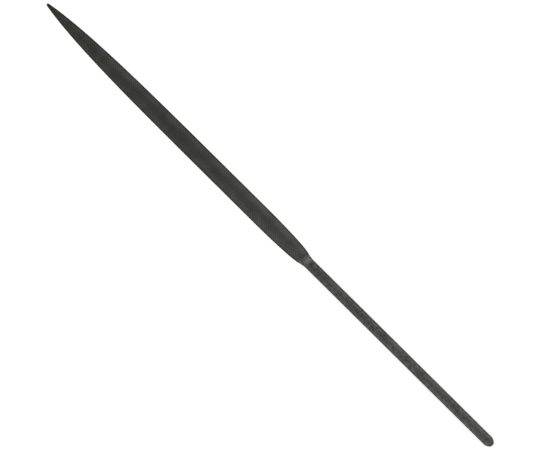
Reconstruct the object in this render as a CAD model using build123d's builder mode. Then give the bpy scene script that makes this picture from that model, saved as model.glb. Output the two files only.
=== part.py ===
from build123d import *
import math
import os

# Half round precision file, forged in one piece from round wire.
# Millimetres. The origin is on the shank's axis, at the plane where the neck ends and the round
# shank begins. +X runs to the point, +Z comes out of the rounded back, and the flat face looks down.
# The flat face is in line with the underside of the shank, so that the file lies flat on a bench.

# Blade, from the point back to the last row of teeth
taper_length = 95.5  # point to the widest place
heel_length = 19.5  # widest place to the last row of teeth
blade_width = 6.4
blade_thickness = 2.1  # flat face to the crown of the rounded back
point_width = 0.75
point_thickness = 0.3
heel_width = 4.6  # across the last row of teeth

# Form of the tapers: powers and shares, without a unit
belly_power = 5.0
belly_roundness_share = 0.86
thickness_follow_share = 0.9
heel_arc_share = 0.985

# Teeth, row after row across both faces, each row steep on the side of the point
tooth_pitch = 0.52
tooth_depth = 0.14
tooth_skew = 32.0  # degrees off square to the axis
gullet_share = 0.15  # share of the pitch from a crest down to its gullet
edge_notch_share = 0.5  # share of the depth that a gullet takes off each side edge

# Neck and shank
neck_length = 3.4
neck_sections = 10
neck_draw_power = 2.5  # how fast the sides draw in, straight after the last row of teeth
neck_fill_power = 2.0  # how fast the section fills out towards the full round, under the ramp
shank_diameter = 3.5
shank_length = 81.6  # neck to the end, with the blunt end
end_taper_length = 1.85  # the blunt end, from its shoulder to the small flat
end_flat_diameter = 1.3
end_bulge = 0.18  # how far the blunt end is rounded out from a plain cone

cut_length = taper_length + heel_length
point_x = neck_length + cut_length
shank_radius = shank_diameter / 2
flat_z = -shank_radius
slant = math.tan(math.radians(tooth_skew))
shoulder = (end_taper_length - shank_length, shank_radius)
end_corner = (-shank_length, end_flat_diameter / 2)
heel_crown = (neck_length, flat_z + blade_thickness)
ramp_top = (0, shank_radius)


def ease(share):
    # rises from 0 to 1 with level ends
    share = min(max(share, 0), 1)
    return share * share * (3 - 2 * share)


def cut_width(from_point):
    # full width of the blade: a bellied taper, then a heel that draws in as an ellipse does
    if from_point < taper_length:
        left_over = 1 - max(from_point, 0) / taper_length
        growth = (1 - left_over**belly_power) ** belly_roundness_share
        return point_width + (blade_width - point_width) * growth
    along = min((from_point - taper_length) / heel_length, 1)
    drop = 1 - math.sqrt(1 - (heel_arc_share * along) ** 2)
    full_drop = 1 - math.sqrt(1 - heel_arc_share**2)
    return blade_width - (blade_width - heel_width) * drop / full_drop


def cut_thickness(from_point):
    # the thickness follows the width towards the point, and stays full along the heel
    if from_point >= taper_length:
        return blade_thickness
    widened = (cut_width(from_point) - point_width) / (blade_width - point_width)
    return point_thickness + (blade_thickness - point_thickness) * widened**thickness_follow_share


def edge_offset(from_point, side, depth):
    # where a slanting row meets the side edge of the blade, found in a few closer steps
    closer_steps = 4
    offset = side * cut_width(from_point) / 2
    for step in range(closer_steps):
        offset = side * (cut_width(from_point - offset * slant) / 2 - depth * edge_notch_share)
    return offset


def half_round(from_point, depth):
    # one section of the cut along a row of teeth: an arc over a chord
    stretch = math.hypot(1, slant)
    along = Vector(slant, 1, 0).normalized()
    across = Vector(1, -slant, 0).normalized()
    row = Plane(origin=(point_x - from_point, 0, 0), x_dir=along, z_dir=across)
    right = (edge_offset(from_point, 1, depth) * stretch, flat_z + depth)
    left = (edge_offset(from_point, -1, depth) * stretch, flat_z + depth)
    crown = (0, flat_z + cut_thickness(from_point) - depth)
    with BuildSketch(row) as section:
        with BuildLine():
            ThreePointArc(left, crown, right)
            Line(right, left)
        make_face()
    return section.sketch


def gullet_depth(from_point):
    # shallower where the blade is thin
    return tooth_depth * math.sqrt(cut_thickness(from_point) / blade_thickness)


def neck_section(share):
    # the half round of the heel turns into the round of the shank: two arcs on each side, mirrored
    turned = ease(share)
    drawn_in = 1 - (1 - share) ** neck_draw_power
    filled = 1 - (1 - share) ** neck_fill_power
    side = (shank_radius * drawn_in + heel_width / 2 * (1 - drawn_in), flat_z * (1 - turned))
    crown = (0, shank_radius * filled + (flat_z + blade_thickness) * (1 - filled))
    base = (0, flat_z)
    with BuildSketch(Plane.YZ.offset(neck_length * (1 - share))) as section:
        with BuildLine():
            TangentArc(crown, side, tangent=(1, 0))
            if turned > 0:
                TangentArc(base, side, tangent=(1, 0))
            else:
                Line(base, side)
            mirror(about=Plane.YZ)
        make_face()
    return section.sketch


# Rows of teeth from the point back: a gullet, then the crest behind it. The slanting rows run past
# the point and the heel, and both ends of the cut are then trimmed square.
tooth_count = round(cut_length / tooth_pitch)
row_pitch = cut_length / tooth_count
rows_past_end = math.ceil(heel_width / 2 * slant / row_pitch) + 1
rows = []
for tooth in range(-rows_past_end, tooth_count + rows_past_end + 1):
    crest = tooth * row_pitch
    gullet = crest - gullet_share * row_pitch
    rows.append(half_round(gullet, gullet_depth(gullet)))
    rows.append(half_round(crest, 0))

with BuildPart() as half_round_file:
    loft(rows, ruled=True, clean=False)
    split(bisect_by=Plane.YZ.offset(point_x), keep=Keep.BOTTOM)
    split(bisect_by=Plane.YZ.offset(neck_length), keep=Keep.TOP)
    loft([neck_section(step / neck_sections) for step in range(neck_sections + 1)], ruled=True)
    # the ramp: a hollow that leaves the back of the heel level and climbs to the top of the shank
    with BuildSketch(Plane.XZ):
        with BuildLine():
            TangentArc(heel_crown, ramp_top, tangent=(-1, 0))
            Polyline(ramp_top, (0, shank_diameter), (neck_length, shank_diameter), heel_crown)
        make_face()
    extrude(amount=heel_width, both=True, mode=Mode.SUBTRACT)
    with BuildSketch(Plane.XZ):
        with BuildLine():
            Polyline(shoulder, ramp_top, (0, 0), (-shank_length, 0), end_corner)
            SagittaArc(end_corner, shoulder, end_bulge)
        make_face()
    revolve(axis=Axis.X)

half_round_file.part.label = "half_round_file"

os.makedirs("parts", exist_ok=True)
export_step(half_round_file.part, "parts/half_round_file.step")
print("rows of teeth", tooth_count, "overall length", cut_length + neck_length + shank_length)
print("volume", round(half_round_file.part.volume))
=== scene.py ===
from math import radians, tan

import bpy
import numpy as np
from mathutils import Matrix, Vector


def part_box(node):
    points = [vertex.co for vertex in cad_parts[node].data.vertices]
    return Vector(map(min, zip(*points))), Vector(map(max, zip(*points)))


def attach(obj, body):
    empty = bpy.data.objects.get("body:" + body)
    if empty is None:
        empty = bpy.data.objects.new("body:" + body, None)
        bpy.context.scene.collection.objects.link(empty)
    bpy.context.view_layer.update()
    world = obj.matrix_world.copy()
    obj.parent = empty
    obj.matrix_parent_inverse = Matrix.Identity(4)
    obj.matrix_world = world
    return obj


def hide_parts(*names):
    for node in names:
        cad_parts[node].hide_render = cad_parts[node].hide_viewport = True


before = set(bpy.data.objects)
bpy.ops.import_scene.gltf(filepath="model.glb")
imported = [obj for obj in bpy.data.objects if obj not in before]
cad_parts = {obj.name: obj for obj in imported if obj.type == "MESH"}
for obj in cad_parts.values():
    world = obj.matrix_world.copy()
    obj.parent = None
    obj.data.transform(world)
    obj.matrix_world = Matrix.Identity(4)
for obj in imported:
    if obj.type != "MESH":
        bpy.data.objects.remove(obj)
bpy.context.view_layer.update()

mm = 0.001
fileLow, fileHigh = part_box("half_round_file")
pointX = fileHigh.x  # the point of the blade
endX = fileLow.x  # the small flat on the shank's blunt end
shankRadius = fileHigh.z
flatZ = fileLow.z  # the flat face, in line with the underside of the shank
wideReach = fileHigh.y  # half the blade's width, where it is widest

blade = {
    "taperLength": 95.5 * mm,  # point to the widest place
    "heelLength": 19.5 * mm,  # widest place to the last row of teeth
    "thickness": 2.1 * mm,  # flat face to the crown of the rounded back
    "pointWidth": 0.75 * mm,
    "pointThickness": 0.3 * mm,
    "heelWidth": 4.6 * mm,  # across the last row of teeth
    "bellyPower": 5.0,  # the greater, the sooner the blade comes near its full width
    "bellyRoundness": 0.86,  # the smaller, the blunter the point
    "thicknessFollow": 0.9,  # how closely the thickness follows the width
    "heelArc": 0.985,  # the share of a quarter ellipse that the heel takes up
}
teeth = {
    "pitch": 0.52 * mm,
    "depth": 0.14 * mm,
    "skew": 32,  # degrees off square
    "gulletShare": 0.15,  # the steep side of a tooth, as a share of the pitch
    "landShare": 0.06,  # the worn land on top of a tooth
    "slopeShare": 0.45,  # where a ring of points lies on the long side of a tooth
    "edgeNotch": 0.5,  # share of the depth that comes off each side edge
    "crossPitch": 0.8 * mm,
    "crossSkew": 42,  # degrees off square, the other way
    "crossDepth": 0.75,  # share of the main depth
    "crossReach": 0.4,  # half the groove's width, as a share of its pitch
    "squareLength": 2.5 * mm,  # the rows turn square over this length at the point
    "endLean": 6,  # degrees off square of the line where the cut ends
    "endSpare": 0.25 * mm,  # how far the cut runs into the neck
    "fadeLength": 0.7 * mm,  # the last teeth run out over this length
}
neck = {
    "drawPower": 2.5,  # how fast the sides draw in behind the last row of teeth
    "fillPower": 2.0,  # how fast the section fills out to the full round under the ramp
    "rampCrown": 40.0,  # the ramp's drop towards its sides, divided by the offset squared
    "rampSoftness": 0.12 * mm,
    "softShare": 0.25,  # the ramp's rounded rim grows to its full size over this share of the neck
    "ringGap": 0.08 * mm,
    "turnLength": 7.0 * mm,  # this far into the shank the slanting rings have turned square
}
shank = {
    "endTaper": 1.85 * mm,  # the blunt end, from its shoulder to the small flat
    "endFlatRadius": 0.65 * mm,
    "endBulge": 0.18 * mm,  # how far the blunt end is rounded out from a plain cone
    "endRings": 16,
    "shoulderRing": 0.08 * mm,  # a last ring before the shoulder, for its worn edge
    "ringGap": 2.0 * mm,
}
fineness = {
    "backPoints": 85,  # points of a ring over the rounded back, with both side edges
    "flatPoints": 62,  # and over the flat face between them
    "closerSteps": 6,  # rounds that settle the points of a leaning ring
    "leastSag": 1e-9,  # the flat face is an arc that sags by this little, so that it has a radius
    "crispTurn": 30,  # a side edge stays crisp where it turns by more degrees than this
}

cutLength = blade["taperLength"] + blade["heelLength"]
neckX = pointX - cutLength  # where the neck starts; it ends at zero
slant = tan(radians(teeth["skew"]))
crossSlant = tan(radians(teeth["crossSkew"]))
endSlant = tan(radians(teeth["endLean"]))
cutEndX = neckX - teeth["endSpare"]
rowCount = round(cutLength / teeth["pitch"])
rowPitch = cutLength / rowCount


def easeShare(share):
    # Rises from 0 to 1 with level ends: three squares less two cubes.
    share = np.clip(share, 0, 1)
    return share * share * (3 - 2 * share)


def bladeReach(fromPoint):
    # Half width: a power of what is left of the taper, then a heel that draws in as an ellipse does.
    leftOver = 1 - np.clip(fromPoint / blade["taperLength"], 0, 1)
    growth = (1 - leftOver ** blade["bellyPower"]) ** blade["bellyRoundness"]
    pointReach = blade["pointWidth"] / 2
    taper = pointReach + (wideReach - pointReach) * growth
    along = np.clip((fromPoint - blade["taperLength"]) / blade["heelLength"], 0, 1)
    drop = 1 - np.sqrt(1 - (blade["heelArc"] * along) ** 2)
    fullDrop = 1 - np.sqrt(1 - blade["heelArc"] ** 2)
    return taper - (wideReach - blade["heelWidth"] / 2) * drop / fullDrop


def bladeThickness(fromPoint):
    # A power of how far the blade has widened from the point, and full along the heel.
    pointReach = blade["pointWidth"] / 2
    widened = (bladeReach(fromPoint) - pointReach) / (wideReach - pointReach)
    widened = np.where(fromPoint < blade["taperLength"], np.clip(widened, 0, 1), 1)
    rise = (blade["thickness"] - blade["pointThickness"]) * widened ** blade["thicknessFollow"]
    return blade["pointThickness"] + rise


def sectionAt(x):
    # The section at x: reach and height of its side, and height of its crown. In the neck each of
    # them goes over from the half round of the heel to the round of the shank.
    share = np.clip((neckX - x) / neckX, 0, 1)
    drawnIn = 1 - (1 - share) ** neck["drawPower"]
    filled = 1 - (1 - share) ** neck["fillPower"]
    reach = bladeReach(pointX - x) * (1 - drawnIn) + shankRadius * drawnIn
    sideHeight = flatZ * (1 - easeShare(share))
    crown = (flatZ + bladeThickness(pointX - x)) * (1 - filled) + shankRadius * filled
    return reach, sideHeight, crown


def cutByRamp(x, y, z):
    # The lesser of the back's height and the ramp's, with a rounded rim between the two. The ramp is
    # an arc along the file, which leaves the crown of the heel level and climbs to the top of the
    # shank, and it falls off with the square of the way to the side.
    heelCrown = flatZ + blade["thickness"]
    rise = shankRadius - heelCrown
    hollowRadius = (neckX**2 + rise**2) / (2 * rise)
    along = np.clip(neckX - x, 0, hollowRadius)
    hollow = hollowRadius - np.sqrt(hollowRadius**2 - along**2)
    ramp = heelCrown + hollow - neck["rampCrown"] * y**2
    softness = neck["rampSoftness"] * easeShare(along / (neckX * neck["softShare"]))
    cut = (z + ramp - np.sqrt((z - ramp) ** 2 + softness**2)) / 2
    return np.where(along > 0, cut, z)


def toothDepth(phase, x, y):
    # The share of the full depth at a point: the greater of the saw-tooth of its row and of the
    # rounded grooves that cross the rows the other way. Both run out where the cut ends.
    part = phase % 1
    land, gullet = teeth["landShare"], 1 - teeth["gulletShare"]
    fall = np.clip((part - land) / (gullet - land), 0, 1)
    rise = np.clip((1 - part) / teeth["gulletShare"], 0, 1)
    row = np.minimum(fall, rise)
    crossPhase = ((pointX - x - crossSlant * y) / teeth["crossPitch"]) % 1
    groove = easeShare(1 - np.abs(crossPhase - 0.5) / teeth["crossReach"])
    fade = easeShare((x - cutEndX - endSlant * y) / teeth["fadeLength"])
    return np.maximum(row, groove * teeth["crossDepth"]) * fade


def ringsOf(stations, slopes):
    # One closed ring of points for each station along the axis. A ring leans with its slope, so that
    # it follows a row of teeth: its x is the station plus slope times y. Over the back the points run
    # along an arc from side to side, and back along the flat face, or along an arc below it. A few
    # closer steps settle x and y, because the width changes along a leaning ring. With the points
    # come what the steel reads at each of them, and how far each ring turns at its side edges.
    backShare = np.linspace(-1, 1, fineness["backPoints"])
    flatShare = np.linspace(1, -1, fineness["flatPoints"] + 2)[1:-1]
    share = np.concatenate([backShare, flatShare])[None, :]
    onBack = np.arange(share.size) < fineness["backPoints"]
    station, slope = stations[:, None], slopes[:, None]
    phase = (pointX - station) / rowPitch
    y = np.zeros((len(stations), share.size))
    for step in range(fineness["closerSteps"]):
        x = np.minimum(station + slope * y, pointX)
        reach, sideHeight, crown = sectionAt(x)
        toothShare = toothDepth(phase, x, y)
        thinning = np.sqrt(bladeThickness(pointX - x) / blade["thickness"])
        depth = teeth["depth"] * thinning * toothShare
        reach = reach - depth * teeth["edgeNotch"]
        top = crown - sideHeight - 2 * depth
        topRadius = (reach**2 + top**2) / (2 * top)
        topAngle = np.arctan2(reach, topRadius - top)
        below = np.maximum(sideHeight - flatZ, fineness["leastSag"])
        belowRadius = (reach**2 + below**2) / (2 * below)
        belowAngle = np.arctan2(reach, belowRadius - below)
        yBack = topRadius * np.sin(share * topAngle)
        yFlat = belowRadius * np.sin(share * belowAngle)
        y = np.where(onBack, yBack, yFlat)
    zBack = crown - 2 * topRadius * np.sin(share * topAngle / 2) ** 2
    zBack = cutByRamp(x, y, zBack) - depth
    zFlat = flatZ + depth + 2 * belowRadius * np.sin(share * belowAngle / 2) ** 2
    rings = np.stack([x, y, np.where(onBack, zBack, zFlat)], axis=-1)
    measures = {"toothShare": toothShare, "fromEdge": reach - np.abs(y)}
    edgeTurns = np.pi - (topAngle + belowAngle)[:, 0]
    return rings, measures, edgeTurns


def endRings(lastRing):
    # The shank's blunt end: a cone from its shoulder down to a small flat, rounded out by an arc over
    # its straight side. The last ring lies in the flat, which closes to its middle.
    length, flatRadius, bulge = shank["endTaper"], shank["endFlatRadius"], shank["endBulge"]
    drop = shankRadius - flatRadius
    side = np.hypot(length, drop)
    arcRadius = (side**2 / 4 + bulge**2) / (2 * bulge)
    share = np.linspace(0, 1, shank["endRings"])[1:]
    out = np.sqrt(arcRadius**2 - (side * (share - 0.5)) ** 2) - (arcRadius - bulge)
    x = endX + length * (1 - share) - out * drop / side
    radius = shankRadius - drop * share + out * length / side
    x = np.append(x, endX)
    radius = np.append(radius, flatRadius / 2)
    circle = lastRing[:, 1:] / shankRadius
    rings = np.zeros((len(radius), len(lastRing), 3))
    rings[:, :, 0] = x[:, None]
    rings[:, :, 1:] = circle[None] * radius[:, None, None]
    return rings


def addObject(name, data):
    added = bpy.data.objects.new(name, data)
    bpy.context.scene.collection.objects.link(added)
    return added


def markCrisp(mesh, ringCount, perRing, crispRings, crispSides):
    # The edges along crispRings stay crisp, and so do the two side edges where crispSides says so.
    ends = np.zeros(len(mesh.edges) * 2, np.int32)
    mesh.edges.foreach_get("vertices", ends)
    ends = ends.reshape(-1, 2)
    ring = np.minimum(ends // perRing, ringCount - 1)
    column = ends % perRing
    inFan = (ends >= ringCount * perRing).any(axis=1)
    inRing = (ring[:, 0] == ring[:, 1]) & ~inFan
    sideColumns = [0, fineness["backPoints"] - 1]
    onSide = (column[:, 0] == column[:, 1]) & np.isin(column[:, 0], sideColumns) & ~inFan
    lower = ring.min(axis=1)
    crisp = (inRing & crispRings[lower]) | (onSide & crispSides[lower])
    mesh.attributes.new("sharp_edge", "BOOLEAN", "EDGE").data.foreach_set("value", crisp)


def closedPiece(name, rings, measures, crispRings, crispSides):
    # Quads between neighbouring rings, and a fan of triangles to a middle point at either end. The
    # measures are kept at each point, for the steel to read.
    ringCount, perRing = rings.shape[:2]
    points = np.concatenate([rings.reshape(-1, 3), [rings[0].mean(0)], [rings[-1].mean(0)]])
    start = np.arange(ringCount - 1)[:, None] * perRing
    here = np.arange(perRing)[None, :]
    after = (here + 1) % perRing
    quads = [start + here, start + after, start + perRing + after, start + perRing + here]
    quads = np.stack(quads, axis=-1).reshape(-1, 4)
    startMiddle = ringCount * perRing
    lastStart = startMiddle - perRing
    here, after = here.ravel(), after.ravel()
    startFan = np.stack([np.full(perRing, startMiddle), after, here], axis=-1)
    endFan = np.stack([np.full(perRing, startMiddle + 1), lastStart + here, lastStart + after], axis=-1)
    corners = np.concatenate([quads.ravel(), startFan.ravel(), endFan.ravel()]).astype(np.int32)
    sizes = np.concatenate([np.full(len(quads), 4), np.full(2 * perRing, 3)])
    starts = np.concatenate([[0], np.cumsum(sizes)[:-1]]).astype(np.int32)
    mesh = bpy.data.meshes.new(name)
    mesh.vertices.add(len(points))
    mesh.vertices.foreach_set("co", points.astype(np.float32).ravel())
    mesh.loops.add(len(corners))
    mesh.loops.foreach_set("vertex_index", corners)
    mesh.polygons.add(len(sizes))
    mesh.polygons.foreach_set("loop_start", starts)
    mesh.update(calc_edges=True)
    mesh.polygons.foreach_set("use_smooth", np.ones(len(sizes), bool))
    markCrisp(mesh, ringCount, perRing, crispRings, crispSides)
    for key, values in measures.items():
        layer = mesh.attributes.new(key, "FLOAT", "POINT")
        capped = np.concatenate([values.ravel(), [values[0].mean(), values[-1].mean()]])
        layer.data.foreach_set("value", capped.astype(np.float32))
    mesh.validate()
    print("made", name, "with", len(sizes), "faces")
    return addObject(name, mesh)


def bladeStations(firstRow, lastRow):
    # Four rings to a tooth: the crest, the end of its land, one on its long side, and the gullet.
    # The rings of the crest and the gullet are crisp.
    parts = np.array([0, teeth["landShare"], teeth["slopeShare"], 1 - teeth["gulletShare"]])
    rows = np.arange(firstRow, lastRow)[:, None] + parts[None, :]
    crisp = np.tile([True, False, False, True], lastRow - firstRow)
    return pointX - rows.ravel() * rowPitch, crisp


def buildFile():
    # The blade from its point to half its rows is one closed piece, and the rest is the other.
    crispTurn = radians(fineness["crispTurn"])
    middleRow = rowCount // 2
    lastRow = rowCount + int(np.ceil(blade["heelWidth"] / 2 * slant / rowPitch)) + 1
    fore, foreCrisp = bladeStations(0, middleRow)
    rear, rearCrisp = bladeStations(middleRow, lastRow)

    # The rings stand square at the point, and lean more and more until they follow the rows.
    fore = np.append(fore, rear[0])
    foreCrisp = np.append(foreCrisp, True)
    leaning = easeShare((pointX - fore) / teeth["squareLength"])
    foreRings, foreMeasures, foreTurns = ringsOf(fore, slant * leaning)
    forePiece = closedPiece("blade_fore", foreRings, foreMeasures, foreCrisp, foreTurns > crispTurn)

    # Behind the last row they turn square again, and stay so along the shank.
    neckStations = np.arange(rear[-1] - neck["ringGap"], -neck["turnLength"], -neck["ringGap"])
    shoulderX = endX + shank["endTaper"]
    lastX = shoulderX + shank["shoulderRing"]
    shankRings = int((neckStations[-1] - lastX) / shank["ringGap"])
    shankStations = np.append(np.linspace(neckStations[-1], lastX, shankRings)[1:], shoulderX)
    stations = np.concatenate([rear, neckStations, shankStations])
    squared = easeShare((rear[-1] - stations) / (rear[-1] + neck["turnLength"]))
    rearRings, rearMeasures, rearTurns = ringsOf(stations, slant * (1 - squared))

    # The blunt end bears no teeth, so its measures are zero.
    bluntRings = endRings(rearRings[-1])
    plain = np.zeros(bluntRings.shape[:2])
    rings = np.concatenate([rearRings, bluntRings])
    measures = {key: np.concatenate([values, plain]) for key, values in rearMeasures.items()}
    turns = np.concatenate([rearTurns, np.zeros(len(bluntRings))])
    crisp = np.concatenate([rearCrisp, np.zeros(len(rings) - len(rear), bool)])
    crisp[-2] = True  # the rim of the small flat
    rearPiece = closedPiece("blade_rear_and_shank", rings, measures, crisp, turns > crispTurn)
    return forePiece, rearPiece


nodeSpacing = 180  # between the nodes in the editor


def addNode(tree, kind, inputs=None, **settings):
    # A new node, with its settings made and each input either joined to a socket or given a value.
    node = tree.nodes.new(kind)
    node.location = (-nodeSpacing * len(tree.nodes), 0)
    for key, value in settings.items():
        setattr(node, key, value)
    for key, value in (inputs or {}).items():
        if isinstance(value, bpy.types.NodeSocket):
            tree.links.new(value, node.inputs[key])
        else:
            node.inputs[key].default_value = value
    return node


def mathNode(tree, operation, first, second=0.0):
    return addNode(tree, "ShaderNodeMath", {0: first, 1: second}, operation=operation).outputs[0]


def vectorNode(tree, operation, first, second=(0, 0, 0)):
    return addNode(tree, "ShaderNodeVectorMath", {0: first, 1: second}, operation=operation).outputs


def rangeNode(tree, value, low, high, toLow=0.0, toHigh=1.0):
    inputs = {"Value": value, "From Min": low, "From Max": high, "To Min": toLow, "To Max": toHigh}
    return addNode(tree, "ShaderNodeMapRange", inputs).outputs["Result"]


def swingNode(tree, value, low, high, depth):
    # A tone that swings round one by the depth, from below it at low to above it at high.
    return rangeNode(tree, value, low, high, 1 - depth, 1 + depth)


def colourMix(tree, share, first, second):
    inputs = {"Factor": share, "A": first, "B": second}
    return addNode(tree, "ShaderNodeMix", inputs, data_type="RGBA").outputs["Result"]


def valueMix(tree, share, first, second):
    return addNode(tree, "ShaderNodeMix", {"Factor": share, 2: first, 3: second}).outputs[0]


def noiseNode(tree, place, grainSize, detail, turn=0.0):
    # Noise whose grains have the given size along each axis, after a turn about the vertical.
    inputs = {"Vector": place, "Rotation": (0, 0, turn), "Scale": grainSize}
    turned = addNode(tree, "ShaderNodeMapping", inputs, vector_type="TEXTURE").outputs["Vector"]
    noise = {"Vector": turned, "Scale": 1.0, "Detail": detail}
    return addNode(tree, "ShaderNodeTexNoise", noise).outputs["Fac"]


steel = {
    "toothColour": (0.080, 0.081, 0.072, 1),
    # painted shade: the gullets are darker than the teeth
    "gulletShadeColour": (0.042, 0.043, 0.038, 1),
    "landColour": (0.145, 0.146, 0.132, 1),
    "neckColour": (0.0845, 0.0855, 0.0785, 1),
    "shankColour": (0.0765, 0.0775, 0.072, 1),
    "grazingTint": (0.45, 0.45, 0.45, 1),  # an oily surface reflects less where it turns away
    "cutFade": (-0.05 * mm, 0.15 * mm),  # where the look of the cut comes in, beyond the cut's end
    "landsFrom": 0.5 * mm,  # and from where on the worn lands do
    "neckFade": (0.1 * mm, 0.9 * mm),  # where the look of the shank gives way to the neck's
    "deepRange": (0.15, 1.0),  # shares of the depth over which the painted shade of the gullets comes in
    "wornShare": 0.12,  # and the share over which the colour of the lands is lost
    "lastRowShadeDepth": 1.0,  # painted shade: how near the fading end of the cut comes to the gullets' dark colour
    "lastRowShadeFade": (0.2 * mm, 1.4 * mm),  # and where across the file that painted shade is lost again
    "paintedEdgeShade": 0.40,  # painted shade: the cut darkens to this over the last edgeWidth before its side edges
    "edgeWidth": 0.65 * mm,
    "paintedHeelLight": 1.38,  # painted light: the cut is this much lighter at the heel, and less so up to the end given next
    "paintedHeelLightEnd": 60.0 * mm,
    "paintedPointShade": 0.74,  # painted shade: from the start given next on, the cut darkens to this at the point
    "paintedPointShadeStart": 90.0 * mm,
    "paintedEndLight": 1.20,  # painted light: the shank is this much lighter at its end than at the neck
    "paintedRimShade": 0.45,  # painted shade: it darkens to this over the last rimLength, round its small flat
    "rimLength": 0.8 * mm,
    "paintedRampLight": 1.18,  # painted light: the ramp is this much lighter from rampFoot to the cut
    "rampFoot": 2.6 * mm,
    "rampPlain": 1.8 * mm,  # and no painted light from here to the shank
    "spotPlace": (0.10 * mm, -0.20 * mm, 1.6 * mm),  # a spot of painted shade where the ramp runs out
    "spotSpread": (0.75 * mm, 0.62 * mm, 1.5 * mm),
    "spotCore": 0.2,  # the share of the spread that is as dark as the spot's middle
    "paintedShadeSpot": 0.45,
    "toothRoughness": 0.56,
    "neckRoughness": 0.40,
    "shankRoughness": 0.50,
    "unevenness": 0.05,  # how far the grain moves the roughness up and down
    "patchSize": (4.0 * mm, 4.0 * mm, 4.0 * mm),  # cloudy patches
    "patchDepth": 0.16,
    "grainSize": (0.38 * mm, 0.38 * mm, 0.38 * mm),
    "grainDepth": 0.12,
    "grainRange": (0.25, 0.75),  # the values of the noise between which the grain swings
    "mottleSize": (0.8 * mm, 0.6 * mm, 0.6 * mm),  # scale left on the shank by hardening
    "mottleDepth": 0.42,
    "cloudRange": (0.3, 0.7),  # the same for the patches and the mottling
    "cloudDetail": 3.0,
    "drawnSize": (16.0 * mm, 0.19 * mm, 0.19 * mm),  # fine lines along the drawn wire
    "groundSize": (0.15 * mm, 4.2 * mm, 0.38 * mm),  # grinding lines across the neck
    "chiselSize": (0.035 * mm, 0.7 * mm, 0.7 * mm),  # fine lines along each row of teeth
    "fineDetail": 2.0,  # for the grain and all the lines
    "lineHeight": 0.004 * mm,
}


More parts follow.
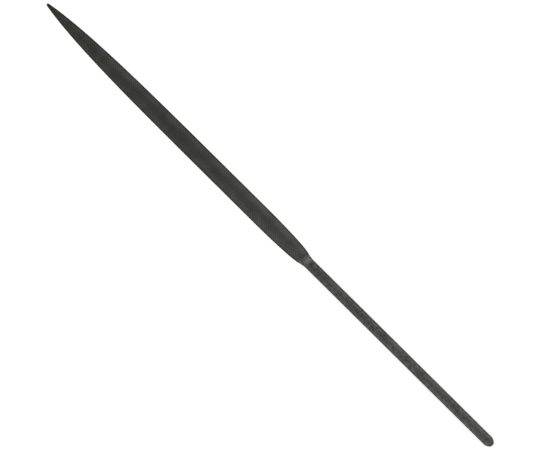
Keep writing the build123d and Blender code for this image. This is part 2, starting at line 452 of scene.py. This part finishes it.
def steelMaterial():
    # Three zones along the file: the cut, the ground neck and the drawn shank.
    material = bpy.data.materials.new("hardenedSteel")
    material.use_nodes = True
    tree = material.node_tree
    shader = tree.nodes["Principled BSDF"].inputs
    shader["Metallic"].default_value = 1.0
    shader["Specular Tint"].default_value = steel["grazingTint"]
    place = addNode(tree, "ShaderNodeTexCoord").outputs["Object"]
    apart = addNode(tree, "ShaderNodeSeparateXYZ", {"Vector": place}).outputs
    lean = mathNode(tree, "MULTIPLY", apart["Y"], -endSlant)
    alongCut = mathNode(tree, "ADD", apart["X"], lean)
    fadeStart, fadeEnd = steel["cutFade"]
    inCut = rangeNode(tree, alongCut, cutEndX + fadeStart, cutEndX + fadeEnd)
    landsFrom, landsFull = cutEndX + steel["landsFrom"], cutEndX + teeth["fadeLength"]
    inTeeth = rangeNode(tree, alongCut, landsFrom, landsFull)
    inNeck = rangeNode(tree, apart["X"], *steel["neckFade"])
    tooth = addNode(tree, "ShaderNodeAttribute", attribute_name="toothShare").outputs["Fac"]
    fromEdge = addNode(tree, "ShaderNodeAttribute", attribute_name="fromEdge").outputs["Fac"]
    patch = noiseNode(tree, place, steel["patchSize"], steel["cloudDetail"])
    grain = noiseNode(tree, place, steel["grainSize"], steel["fineDetail"])
    mottle = noiseNode(tree, place, steel["mottleSize"], steel["cloudDetail"])
    drawn = noiseNode(tree, place, steel["drawnSize"], steel["fineDetail"])
    ground = noiseNode(tree, place, steel["groundSize"], steel["fineDetail"])
    rowTurn = radians(-teeth["skew"])
    chiselled = noiseNode(tree, place, steel["chiselSize"], steel["fineDetail"], rowTurn)

    # The colours of the three zones
    # Painted shade: the gullets darken with the depth of the cut
    deep = rangeNode(tree, tooth, *steel["deepRange"])
    # Painted shade along the fading end of the cut, fullest on the side of negative y
    lastRow = rangeNode(tree, apart["Y"], *steel["lastRowShadeFade"], steel["lastRowShadeDepth"], 0.0)
    deep = mathNode(tree, "MAXIMUM", deep, valueMix(tree, inTeeth, lastRow, 0.0))
    worn = mathNode(tree, "MULTIPLY", rangeNode(tree, tooth, steel["wornShare"], 0.0), inTeeth)
    toothColour = colourMix(tree, deep, steel["toothColour"], steel["gulletShadeColour"])
    toothColour = colourMix(tree, worn, toothColour, steel["landColour"])
    smoothColour = colourMix(tree, inNeck, steel["shankColour"], steel["neckColour"])
    colour = colourMix(tree, inCut, smoothColour, toothColour)

    # Lighter and darker tones over them: random grain and mottling, and painted light and shade
    cloudy = swingNode(tree, patch, *steel["cloudRange"], steel["patchDepth"])
    grainy = swingNode(tree, grain, *steel["grainRange"], steel["grainDepth"])
    mottled = swingNode(tree, mottle, *steel["cloudRange"], steel["mottleDepth"])
    mottled = valueMix(tree, inNeck, mottled, 1.0)
    # Painted light and shade: the cut lighter at the heel and darker towards the point
    paintedHeelLight = rangeNode(tree, apart["X"], neckX, steel["paintedHeelLightEnd"], steel["paintedHeelLight"], 1.0)
    paintedPointShade = rangeNode(tree, apart["X"], steel["paintedPointShadeStart"], pointX, 1.0, steel["paintedPointShade"])
    # Painted shade along the side edges of the cut
    paintedEdgeShade = rangeNode(tree, fromEdge, 0.0, steel["edgeWidth"], steel["paintedEdgeShade"], 1.0)
    cutTone = mathNode(tree, "MULTIPLY", paintedHeelLight, mathNode(tree, "MULTIPLY", paintedPointShade, paintedEdgeShade))
    # Painted light: the shank lighter towards its end
    shankTone = rangeNode(tree, apart["X"], endX, 0.0, steel["paintedEndLight"], 1.0)
    # Painted shade round the small flat of the blunt end
    paintedRimShade = rangeNode(tree, apart["X"], endX, endX + steel["rimLength"], steel["paintedRimShade"], 1.0)
    # Painted light on the ramp of the neck
    paintedRampLight = rangeNode(tree, apart["X"], steel["rampPlain"], steel["rampFoot"], 1.0, steel["paintedRampLight"])
    smoothTone = mathNode(tree, "MULTIPLY", shankTone, mathNode(tree, "MULTIPLY", paintedRimShade, paintedRampLight))
    # A spot of painted shade where the ramp runs out
    fromSpot = vectorNode(tree, "SUBTRACT", place, steel["spotPlace"])["Vector"]
    fromSpot = vectorNode(tree, "DIVIDE", fromSpot, steel["spotSpread"])["Vector"]
    spotDistance = vectorNode(tree, "LENGTH", fromSpot)["Value"]
    paintedShadeSpot = rangeNode(tree, spotDistance, steel["spotCore"], 1.0, steel["paintedShadeSpot"], 1.0)
    shade = valueMix(tree, inCut, smoothTone, cutTone)
    for tone in (cloudy, grainy, mottled, paintedShadeSpot):
        shade = mathNode(tree, "MULTIPLY", shade, tone)
    shaded = addNode(tree, "ShaderNodeVectorMath", {0: colour, "Scale": shade}, operation="SCALE")
    tree.links.new(shaded.outputs["Vector"], shader["Base Color"])

    # Roughness, and the fine lines
    smoothRough = valueMix(tree, inNeck, steel["shankRoughness"], steel["neckRoughness"])
    rough = valueMix(tree, inCut, smoothRough, steel["toothRoughness"])
    uneven = rangeNode(tree, grain, *steel["grainRange"], -steel["unevenness"], steel["unevenness"])
    tree.links.new(mathNode(tree, "ADD", rough, uneven), shader["Roughness"])
    lines = valueMix(tree, inNeck, drawn, ground)
    lines = valueMix(tree, inCut, lines, chiselled)
    inputs = {"Height": lines, "Distance": steel["lineHeight"], "Strength": 1.0}
    bump = addNode(tree, "ShaderNodeBump", inputs).outputs["Normal"]
    tree.links.new(bump, shader["Normal"])
    return material


studio = {
    "floorSize": 6.0,
    "floorColour": (0.46, 0.46, 0.46, 1),
    "floorGlow": 0.70,  # what the camera and the steel see of the floor beyond its own light
    "floorRoughness": 0.9,
    "floorSpecular": 0.1,
    "zenithLight": 0.60,
    "horizonLight": 0.95,
}


def buildFloor():
    half = studio["floorSize"] / 2
    mesh = bpy.data.meshes.new("floor")
    corners = [(-half, -half, flatZ), (half, -half, flatZ), (half, half, flatZ), (-half, half, flatZ)]
    mesh.from_pydata(corners, [], [(0, 1, 2, 3)])
    floor = addObject("floor", mesh)
    material = bpy.data.materials.new("paleFloor")
    material.use_nodes = True
    tree = material.node_tree
    shader = tree.nodes["Principled BSDF"].inputs
    shader["Base Color"].default_value = studio["floorColour"]
    shader["Roughness"].default_value = studio["floorRoughness"]
    shader["Specular IOR Level"].default_value = studio["floorSpecular"]
    shader["Emission Color"].default_value = (1, 1, 1, 1)
    path = addNode(tree, "ShaderNodeLightPath").outputs
    seen = mathNode(tree, "MAXIMUM", path["Is Camera Ray"], path["Is Glossy Ray"])
    seen = mathNode(tree, "MAXIMUM", seen, path["Is Transmission Ray"])
    glow = mathNode(tree, "MULTIPLY", seen, studio["floorGlow"])
    tree.links.new(glow, shader["Emission Strength"])
    mesh.materials.append(material)


def buildWorld():
    # A soft room: pale at the horizon and somewhat darker overhead.
    world = bpy.data.worlds.new("softRoom")
    world.use_nodes = True
    tree = world.node_tree
    direction = addNode(tree, "ShaderNodeTexCoord").outputs["Generated"]
    height = addNode(tree, "ShaderNodeSeparateXYZ", {"Vector": direction}).outputs["Z"]
    light = rangeNode(tree, height, 0.0, 1.0, studio["horizonLight"], studio["zenithLight"])
    background = tree.nodes["Background"].inputs
    background["Color"].default_value = (1, 1, 1, 1)
    tree.links.new(light, background["Strength"])
    bpy.context.scene.world = world


lamps = [
    {"name": "rightLamp", "place": (-0.16, -0.72, 0.48), "size": 0.8, "power": 1.12},
    {"name": "leftLamp", "place": (-0.22, 0.62, 0.42), "size": 0.7, "power": 0.62},
    {"name": "pointLamp", "place": (0.75, -0.10, 0.80), "size": 0.6, "power": 2.0},
]


def buildLamps():
    # Round lamps that all face the origin.
    for lamp in lamps:
        light = bpy.data.lights.new(lamp["name"], "AREA")
        light.shape = "DISK"
        light.size = lamp["size"]
        light.energy = lamp["power"]
        holder = addObject(lamp["name"], light)
        holder.location = lamp["place"]
        holder.rotation_euler = Vector(lamp["place"]).to_track_quat("Z", "Y").to_euler()


view = {
    "mmPerPixel": 0.3188,
    "imageWidth": 540,
    "centre": (18.14 * mm, 0.04 * mm),  # what lies in the middle of the picture
    "axisInPicture": (0.71037, 0.70382),  # from the point to the shank's end, right and down
    "lens": 200,
    "sensor": 36,
    "clipEnd": 20,
}


def buildCamera():
    # The camera looks straight down, with the file lying aslant in its picture.
    right, down = view["axisInPicture"]
    cameraRight = Vector((-right, -down, 0))
    cameraUp = Vector((down, -right, 0))
    cameraBack = Vector((0, 0, 1))
    frameWidth = view["mmPerPixel"] * mm * view["imageWidth"]
    distance = frameWidth * view["lens"] / view["sensor"]
    camera = bpy.data.cameras.new("camera")
    camera.lens = view["lens"]
    camera.sensor_width = view["sensor"]
    camera.clip_end = view["clipEnd"]
    holder = addObject("camera", camera)
    turn = Matrix((cameraRight, cameraUp, cameraBack)).transposed().to_4x4()
    holder.matrix_world = Matrix.Translation((*view["centre"], distance)) @ turn
    bpy.context.scene.camera = holder


pieces = buildFile()
steelSkin = steelMaterial()
for piece in pieces:
    piece.data.materials.append(steelSkin)
    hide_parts("half_round_file")
    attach(piece, "root")
print("steel on", len(pieces), "pieces")
buildFloor()
buildWorld()
buildLamps()
buildCamera()
bpy.context.scene.view_settings.view_transform = "Standard"
print("floor, lamps and camera set")
